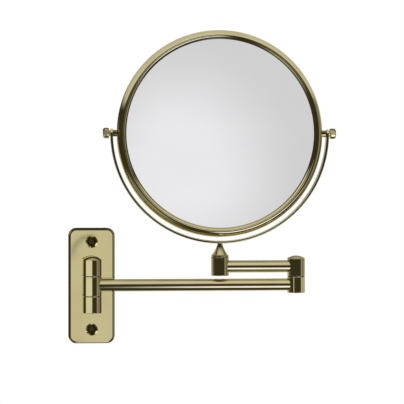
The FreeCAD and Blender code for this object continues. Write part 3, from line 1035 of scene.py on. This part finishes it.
class MIRROR_OT_tilt_pivots(PieceOperator, bpy.types.Operator):
    """Bosses on the frame's sides and the thumb screws that clamp the tilt"""

    bl_idname = "magnifying_mirror.tilt_pivots"
    bl_label = "Tilt Pivots"

    def make(self, chosen):
        for node in ("left_pivot_boss", "right_pivot_boss"):
            self.boss(chosen, node)
        for node in ("left_thumb_screw", "right_thumb_screw"):
            self.thumb_screw(chosen, node)

    def reach(self, node):
        """Nearest and farthest place of a node from the mirror's middle, and the way out to it."""
        centre = JOINT_AT["mirror_tilt"]
        low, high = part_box(node)
        near, far = sorted((abs(low.x - centre.x), abs(high.x - centre.x)))
        return centre, near, far, RIGHT if high.x > centre.x else -RIGHT

    def boss(self, chosen, node):
        """Spacer with a stub in the frame and a hole for its thumb screw."""
        sizes = chosen.pivot
        centre, near, far, outwards = self.reach(node)
        radius, soft = half_height(node), sizes.edge_round
        hole = sizes.shank_radius + chosen.barrel.pin_gap
        stub, seat = sizes.boss_spigot_radius, near + sizes.boss_spigot_length
        bottom = far - sizes.boss_hole_depth
        bm = turned([
            (0, near), (stub, near, soft), (stub, seat), (radius, seat), (radius, far, soft),
            (hole, far), (hole, bottom), (0, bottom),
        ])
        finished(node, laid(bm, centre, outwards))

    def thumb_screw(self, chosen, node):
        """Shank, neck and rounded knob."""
        sizes = chosen.pivot
        centre, near, far, outwards = self.reach(node)
        radius = half_height(node)
        knob = far - sizes.knob_length
        neck = knob - sizes.neck_length
        bm = turned([
            (0, near), (sizes.shank_radius, near, sizes.edge_round), (sizes.shank_radius, neck),
            (sizes.neck_radius, neck), (sizes.neck_radius, knob), (radius, knob, sizes.knob_inner_round),
            (radius, far, sizes.knob_outer_round), (0, far),
        ])
        finished(node, laid(bm, centre, outwards))


class MIRROR_OT_nuts(PieceOperator, bpy.types.Operator):
    """Hexagon nuts with turned-off corners in the pockets under the barrels"""

    bl_idname = "magnifying_mirror.nuts"
    bl_label = "Nuts"

    def make(self, chosen):
        corner_break = chosen.fastener.nut_corner_break
        hole = chosen.barrel.pin_radius + chosen.barrel.pin_gap / 2
        for node in ("hinge_nut", "elbow_nut", "swivel_nut"):
            low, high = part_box(node)
            corner, tall = (high.x - low.x) / 2, high.z - low.z
            bm = hexagon(corner, tall)
            bmesh.ops.rotate(bm, cent=(0, 0, 0), matrix=Matrix.Rotation(math.pi / 2, 3, "Z"), verts=bm.verts)
            bmesh.ops.translate(bm, vec=UP * tall / 2, verts=bm.verts)
            broken = corner - corner_break
            rounded = turned([(0, 0), (broken, 0), (corner, corner_break), (corner, tall - corner_break),
                              (broken, tall), (0, tall)])
            bm = combined(bm, rounded, "INTERSECT")
            bm = cut(bm, rod(hole, -UP * tall, 2 * UP * tall))
            finished(node, laid(bm, foot(middle(node)) + UP * low.z))


class MIRROR_OT_inner_pieces(PieceOperator, bpy.types.Operator):
    """Finish of the washers, bush, spacer and board, whose solids show as they are"""

    bl_idname = "magnifying_mirror.inner_pieces"
    bl_label = "Inner Pieces"

    def make(self, chosen):
        for node, solid in frame["nodes"].items():
            if not solid.hide_render:
                solid.data.materials.clear()
                solid.data.materials.append(material_for(node))


# Stage

# Pieces that have lights of their own
PLATE = ("backplate",)
HINGE = ("hinge_bracket", "inner_arm_knuckle")
ELBOW = ("elbow_lower_barrel",)
POST = ("swivel_post",)
GLASSES = ("magnifying_glass", "flat_glass")
RINGS = ("mirror_frame", "yoke")
PIVOTS = ("left_thumb_screw", "right_thumb_screw", "left_pivot_boss", "right_pivot_boss", "pivot_washers")


def all_but(*groups):
    """Every piece that is in none of the groups."""
    return tuple(node for node in BODY_OF if not any(node in group for group in groups))


def smooth_band(value, low, high, soft):
    """1 between two places, falling to 0 over a soft edge centred on each."""
    rise = contrast(value, low - soft / 2, low + soft / 2)
    fall = contrast(value, high - soft / 2, high + soft / 2)
    return rise * (1 - fall)


class Card(NamedTuple):
    """Soft card of the studio: its edges and their softness, in degrees round and above, and its colour."""

    west: float
    east: float
    low: float
    high: float
    soft: float
    shade: tuple

    def seen(self, azimuth, elevation):
        """1 in the card's directions and 0 beside it."""
        upright = smooth_band(elevation, self.low, self.high, self.soft)
        return smooth_band(azimuth, self.west, self.east, self.soft) * upright


STUDIO_CARDS = (
    Card(west=-150, east=-80, low=-60, high=-25, soft=14, shade=(0.30, 0.30, 0.29)),
    Card(west=57, east=65, low=-30, high=20, soft=5, shade=(0.45, 0.45, 0.43)),
    Card(west=65, east=112, low=-30, high=20, soft=14, shade=(0.21, 0.21, 0.20)),
)
# These light every piece but the wall plate
LOW_CARDS = (
    Card(west=5, east=9, low=-47.5, high=-23, soft=8, shade=(1.25, 1.29, 1.85)),
    Card(west=9, east=66, low=-54, high=-23, soft=8, shade=(1.25, 1.29, 1.85)),
    Card(west=-70, east=-22, low=-60, high=-25, soft=14, shade=(0.40, 0.40, 0.38)),
)
CARD_DISTANCE = 10.0
CARD_MARGIN = 1.2
STUDIO_DARK = (0.046, 0.042, 0.026)


def studio_world(backdrop):
    """Plain backdrop behind the mirror; its brass reflects soft cards with dark room between them."""
    world = bpy.data.worlds.new("studio")
    direction = emptied(world).node("ShaderNodeTexCoord", output="Generated")
    x, y, z = split(direction)
    azimuth = x.maths("ARCTAN2", x, -1 * y) * DEGREE
    elevation = x.maths("ARCSINE", z) * DEGREE
    light = STUDIO_DARK
    for card in STUDIO_CARDS:
        light = mix(card.seen(azimuth, elevation), light, card.shade, "ADD")
    room = direction.node("ShaderNodeBackground", None, {"Color": light})
    plain = direction.node("ShaderNodeBackground", None, {"Color": rgba(backdrop)})
    seen = direction.node("ShaderNodeLightPath", output="Is Camera Ray")
    studio = direction.node("ShaderNodeMixShader", None, {"Fac": seen, 1: room, 2: plain})
    direction.node("ShaderNodeOutputWorld", None, {"Surface": studio})
    bpy.context.scene.world = world


def glowing(name, shade):
    """Material that shows one colour whatever light falls on it."""
    material = bpy.data.materials.new(name)
    start = emptied(material)
    glow = start.node("ShaderNodeEmission", None, {"Color": rgba(shade)})
    start.node("ShaderNodeOutputMaterial", None, {"Surface": glow})
    return material


def shown(node):
    """What shows for a node: its finished piece or, where it has none, its solid."""
    return bpy.data.objects.get(node + "_finished") or frame["nodes"][node]


def aimed(place, direction):
    """Matrix that stands a lamp or camera at a place, upright and looking in a direction."""
    return Matrix.Translation(place) @ direction.to_track_quat("-Z", "Y").to_matrix().to_4x4()


def light_panel(name, pieces, place, aim, width, height, radiance, glow=None):
    """Soft panel that lights only some pieces; glow shades it by the place across and up from its middle."""
    light = bpy.data.lights.new(name, "AREA")
    light.shape = "RECTANGLE"
    light.size, light.size_y = width, height
    light.energy = radiance * math.pi * width * height
    if glow:
        start = emptied(light)
        across, up, _ = split(start.node("ShaderNodeNewGeometry", output="Parametric"))
        strength = glow((across - 0.5) * width, (up - 0.5) * height)
        emission = start.node("ShaderNodeEmission", None, {"Strength": strength})
        start.node("ShaderNodeOutputLight", None, {"Surface": emission})
    lamp = bpy.data.objects.new(name, light)
    lamp.matrix_world = aimed(place, aim - place)
    lamp.visible_camera = False
    lit = bpy.data.collections.new(name + "_lit")
    for node in pieces:
        lit.objects.link(shown(node))
    lamp.light_linking.receiver_collection = lit
    bpy.context.scene.collection.objects.link(lamp)
    return lamp


def low_card(name, pieces, card, aim):
    """Distant panel that shows a card of the studio to some pieces only."""
    bearing = Matrix.Rotation(math.radians(card.west + card.east) / 2, 3, "Z")
    facing = bearing @ Matrix.Rotation(-math.radians(card.low + card.high) / 2, 3, "X")
    right, ahead, up = (facing @ axis for axis in (RIGHT, FRONT, UP))
    spread = 2 * CARD_MARGIN * CARD_DISTANCE
    width = spread * math.tan(math.radians((card.east - card.west) / 2 + card.soft))
    height = spread * math.tan(math.radians((card.high - card.low) / 2 + card.soft))

    def glow(across, upwards):
        x, y, z = (ahead[i] * CARD_DISTANCE + across * right[i] + upwards * up[i] for i in range(3))
        azimuth = x.maths("ARCTAN2", x, -1 * y) * DEGREE
        elevation = x.maths("ARCTAN2", z, away_from(x, y)) * DEGREE
        return card.seen(azimuth, elevation)

    lamp = light_panel(name, pieces, aim + ahead * CARD_DISTANCE, aim, width, height, radiance=1, glow=glow)
    lamp.data.color = card.shade


# Bright spot on the panel before the glass: its place there, where it is full and ends, and its strength
SPOT_ACROSS, SPOT_UP = 0.26, 1.069
SPOT_FULL, SPOT_END = 0.06, 0.28
SPOT_STRENGTH = 0.32


def glass_glow(across, up):
    """Brighter round a spot at the upper right."""
    away = away_from(across - SPOT_ACROSS, up - SPOT_UP)
    return 1 + (1 - contrast(away, SPOT_FULL, SPOT_END)) * SPOT_STRENGTH


# Dim streak on the panel before the plate: the middle of its bend, its radii and soft edge, and its strength
STREAK_ACROSS, STREAK_UP = 0.0356, 0.294
STREAK_INNER, STREAK_OUTER, STREAK_SOFT = 0.031, 0.038, 0.006
STREAK_STRENGTH = 0.55


def plate_glow(across, up):
    """Even, but for a streak bent like the plate's upper left corner."""
    across, up = across - STREAK_ACROSS, up - STREAK_UP
    streak = smooth_band(away_from(across, up), STREAK_INNER, STREAK_OUTER, STREAK_SOFT)
    left = 1 - contrast(across, low=-0.006, high=0.014)
    upper = contrast(up, low=-0.012, high=0.012)
    return 1 - streak * (left * upper) * STREAK_STRENGTH


BACK_DISTANCE = 2.5
BACK_SIDE = 26.0
# How many degrees higher the light from behind reaches on the right than on the left
BACK_RISE = 16
BACK_WIDE, BACK_NARROW = 0.5, 0.3


def back_glow(across, up):
    """Brightest straight behind, fading to the sides, and lower on the left than on the right."""
    aside = across.maths("ABSOLUTE", across.maths("ARCTAN2", across, BACK_DISTANCE)) * DEGREE
    level = across.maths("SQRT", across * across + BACK_DISTANCE**2)
    elevation = across.maths("ARCTAN2", up, level) * DEGREE
    right = 1 - contrast(across, low=-1.0, high=1.0)
    top = 1 - contrast(elevation - right * BACK_RISE, low=-6, high=14)
    upright = contrast(elevation, low=-67, high=-53) * top
    wide = 1 - contrast(aside, low=56, high=80)
    narrow = 1 - contrast(aside, low=18, high=42)
    return upright * (wide * BACK_WIDE + narrow * BACK_NARROW)


# Ceilings: pieces, elevations in degrees where light starts and is full, dimming to the back, half width
CEILINGS = {
    "ceiling": (all_but(PLATE, PIVOTS, RINGS, POST), 13, 36, 1, 4.4),
    "ring_ceiling": (RINGS, 11, 28, 0.35, 6.6),
    "post_ceiling": (POST, 26, 72, 1, 4.4),
    "pivot_ceiling": (PIVOTS, 50, 100, 1, 4.4),
}
CEILING_AT = Vector((0.1, -2.0, 2.0))
CEILING_DEPTH = 14.0
# Share of the half width where a ceiling starts to fade
CEILING_FADE = 0.6
# Strength in front, and what it loses overhead and behind
CEILING_STRENGTH, OVERHEAD_LOSS, BEHIND_LOSS = 0.74, 0.26, 0.22


def ceiling_glow(x, y, dark, bright, dimming, reach):
    """Bright in front, dimmer overhead and behind, fading to the sides and low down, from bright to dark."""
    elevation = x.maths("ARCTAN2", CEILING_AT.z, away_from(x, y)) * DEGREE
    sides = contrast(x.maths("ABSOLUTE", x), reach * CEILING_FADE, reach)
    overhead = contrast(y, low=-1.0, high=0.0)
    behind = contrast(y, low=0.0, high=2.2)
    strength = CEILING_STRENGTH - (overhead * OVERHEAD_LOSS + behind * BEHIND_LOSS) * dimming
    return contrast(elevation, dark, bright) * (1 - sides) * strength


# More panels for the wall plate, aimed at its middle: place, width and height in metres, and radiance
PLATE_PANELS = {
    "plate_low": ((0.125, -0.62, -1.0), 0.35, 1.5, 0.67),
    "plate_back": ((1.366, 1.366, -0.518), 0.9, 0.45, 0.45),
    "plate_left": ((-1.3, -1.2, -0.87), 0.35, 0.45, 0.48),
    "glint_left": ((-2.54, -0.54, 1.5), 0.74, 1.95, 1.15),
    "glint_right": ((2.54, -0.54, 1.5), 0.74, 1.95, 1.15),
}
# Panels for the elbow's lower barrel: bearing in degrees from straight ahead, width in metres and radiance
ELBOW_PANELS = {
    "elbow_left": (-38, 0.23, 0.44),
    "elbow_right": (90, 1.15, 0.25),
}
ELBOW_PANEL_DROP = 0.05
# Radiance of the panel in front of each knob
KNOB_PANELS = {"left": 0.24, "right": 0.45}
KNOB_PANEL_DISTANCE = 0.6


class MIRROR_OT_stage(PieceOperator, bpy.types.Operator):
    """Pale floor, soft studio light and the camera"""

    bl_idname = "magnifying_mirror.stage"
    bl_label = "Stage"

    def make(self, chosen):
        bpy.context.scene.view_settings.view_transform = "Standard"
        studio_world(chosen.stage.backdrop)
        self.floor(chosen.stage)
        self.camera(chosen.stage)
        self.wall_behind_holes(chosen)
        self.light_head_on()
        self.light_plate_and_hinge()
        for number, card in enumerate(LOW_CARDS, 1):
            low_card(f"low_card_{number}", all_but(PLATE), card, JOINT_AT["yoke_swivel"])
        self.light_from_above()
        self.light_knobs_and_elbow()
        self.light_from_behind()

    def light_head_on(self):
        """Panels straight in front of the two glasses and of the wall plate."""
        aim, distance = Vector((0.2, 0, -0.775)), FRONT * 2.2
        size = {"width": 6.0, "height": 3.24}
        light_panel("glass_front", GLASSES, aim + distance, aim, **size, radiance=0.66, glow=glass_glow)
        light_panel("glass_back", GLASSES, aim - distance, aim, **size, radiance=0.68)
        aim, distance = Vector((0.025, 0, -0.31)), FRONT * 1.4
        light_panel("plate_front", PLATE, aim + distance, aim, width=0.55, height=0.74, radiance=0.67,
                    glow=plate_glow)

    def light_plate_and_hinge(self):
        """Panels round the wall plate, and one at the hinge's left."""
        for name, (place, width, height, radiance) in PLATE_PANELS.items():
            light_panel(name, PLATE, Vector(place), Vector((0, 0, 0)), width, height, radiance)
        light_panel("hinge_left", HINGE, Vector((-0.411, -0.387, 0)), JOINT_AT["wall_hinge"],
                    width=1.04, height=0.5, radiance=0.8)

    def light_from_above(self):
        """Wide ceilings, one for each group of pieces."""
        for name, (pieces, dark, bright, dimming, reach) in CEILINGS.items():
            light_panel(
                name, pieces, CEILING_AT, CEILING_AT - UP, width=2 * reach, height=CEILING_DEPTH, radiance=1,
                glow=lambda x, y: ceiling_glow(x, y + CEILING_AT.y, dark, bright, dimming, reach))

    def light_knobs_and_elbow(self):
        """A panel in front of each knob and two round the elbow's lower barrel."""
        for side, radiance in KNOB_PANELS.items():
            knob, aim = side + "_thumb_screw", JOINT_AT[side + "_knob_turn"]
            light_panel(knob + "_front", (knob,), aim + FRONT * KNOB_PANEL_DISTANCE, aim,
                        width=2.4, height=3.4, radiance=radiance)
        aim = JOINT_AT["elbow_hinge"]
        for name, (bearing, width, radiance) in ELBOW_PANELS.items():
            ahead = Matrix.Rotation(math.radians(bearing), 3, "Z") @ FRONT
            place = aim + ahead - UP * ELBOW_PANEL_DROP
            light_panel(name, ELBOW, place, aim, width, height=0.5, radiance=radiance)

    def light_from_behind(self):
        """A panel high behind the post, and a wide one for all that shows the room behind it."""
        aim = JOINT_AT["yoke_swivel"]
        place = aim + Vector((0, 1.5, 0.65))
        light_panel("post_back", POST, place, aim, width=3.3, height=1.35, radiance=0.45)
        place = Vector((0.1, BACK_DISTANCE, 0.0))
        light_panel("back", all_but(PLATE, HINGE, GLASSES), place, place + FRONT,
                    width=BACK_SIDE, height=BACK_SIDE, radiance=1, glow=back_glow)

    def wall_behind_holes(self, chosen):
        """Dark discs just behind the two empty screw holes, glowing a fixed colour: painted shade of the wall
        there.
        """
        stage = chosen.stage
        # Painted shade: the discs glow a fixed dark colour in place of the shaded wall behind the holes
        painted_wall_shade = glowing("painted_wall_shade", stage.wall_shade)
        for name, z in (("upper", SCREW_SPACING / 2), ("lower", -SCREW_SPACING / 2)):
            bm = bmesh.new()
            bmesh.ops.create_circle(bm, cap_ends=True, segments=chosen.steps, radius=stage.wall_spot)
            laid(bm, Vector((0, stage.wall_gap, z)), FRONT)
            wall = stand_in_scene(f"wall_behind_{name}_hole", bm)
            wall.data.materials.append(painted_wall_shade)

    def floor(self, stage):
        """Plain floor that shows itself and neither shades nor tints the mirror."""
        bm = bmesh.new()
        bmesh.ops.create_grid(bm, x_segments=1, y_segments=1, size=stage.floor_size / 2)
        bmesh.ops.translate(bm, vec=UP * (cad_box[0].z - stage.floor_drop), verts=bm.verts)
        floor = stand_in_scene("floor", bm)
        floor.data.materials.append(glowing("pale_floor", stage.backdrop))
        floor.visible_glossy = False
        floor.visible_diffuse = False
        floor.visible_shadow = False

    def camera(self, stage):
        """Camera at the photograph's angle."""
        across, up = stage.azimuth, stage.elevation
        back = Vector((math.sin(across) * math.cos(up), -math.cos(across) * math.cos(up), math.sin(up)))
        aim = Vector((stage.aim_x, JOINT_AT["wall_hinge"].y, stage.aim_z))
        lens = bpy.data.cameras.new("camera")
        lens.lens = stage.lens
        lens.sensor_width = stage.sensor
        camera = bpy.data.objects.new("camera", lens)
        camera.matrix_world = aimed(aim + back * stage.distance, -back)
        bpy.context.scene.collection.objects.link(camera)
        bpy.context.scene.camera = camera


PIECE_OPERATORS = (
    MIRROR_OT_wall_plate,
    MIRROR_OT_wall_hinge,
    MIRROR_OT_arm_tubes,
    MIRROR_OT_elbow,
    MIRROR_OT_swivel,
    MIRROR_OT_yoke,
    MIRROR_OT_mirror_head,
    MIRROR_OT_tilt_pivots,
    MIRROR_OT_nuts,
    MIRROR_OT_inner_pieces,
    MIRROR_OT_stage,
)


class MIRROR_PT_panel(bpy.types.Panel):
    """Lists the mirror's operators"""

    bl_idname = "MIRROR_PT_panel"
    bl_label = "Magnifying Mirror"
    bl_space_type = "VIEW_3D"
    bl_region_type = "UI"
    bl_category = "Mirror"

    def draw(self, context):
        for operator in PIECE_OPERATORS:
            self.layout.operator(operator.bl_idname)


CLASSES = (
    PlateSizes,
    BarrelSizes,
    BracketSizes,
    PostSizes,
    YokeSizes,
    HeadSizes,
    PivotSizes,
    FastenerSizes,
    FinishColours,
    StageSettings,
    MirrorSettings,
    *PIECE_OPERATORS,
    MIRROR_PT_panel,
)


def register():
    for made in CLASSES:
        bpy.utils.register_class(made)
    bpy.types.Scene.magnifying_mirror = PointerProperty(type=MirrorSettings)


def unregister():
    del bpy.types.Scene.magnifying_mirror
    for made in reversed(CLASSES):
        bpy.utils.unregister_class(made)


def main():
    register()
    for operator in PIECE_OPERATORS:
        group, name = operator.bl_idname.split(".")
        getattr(getattr(bpy.ops, group), name)()


if __name__ == "__main__":
    main()
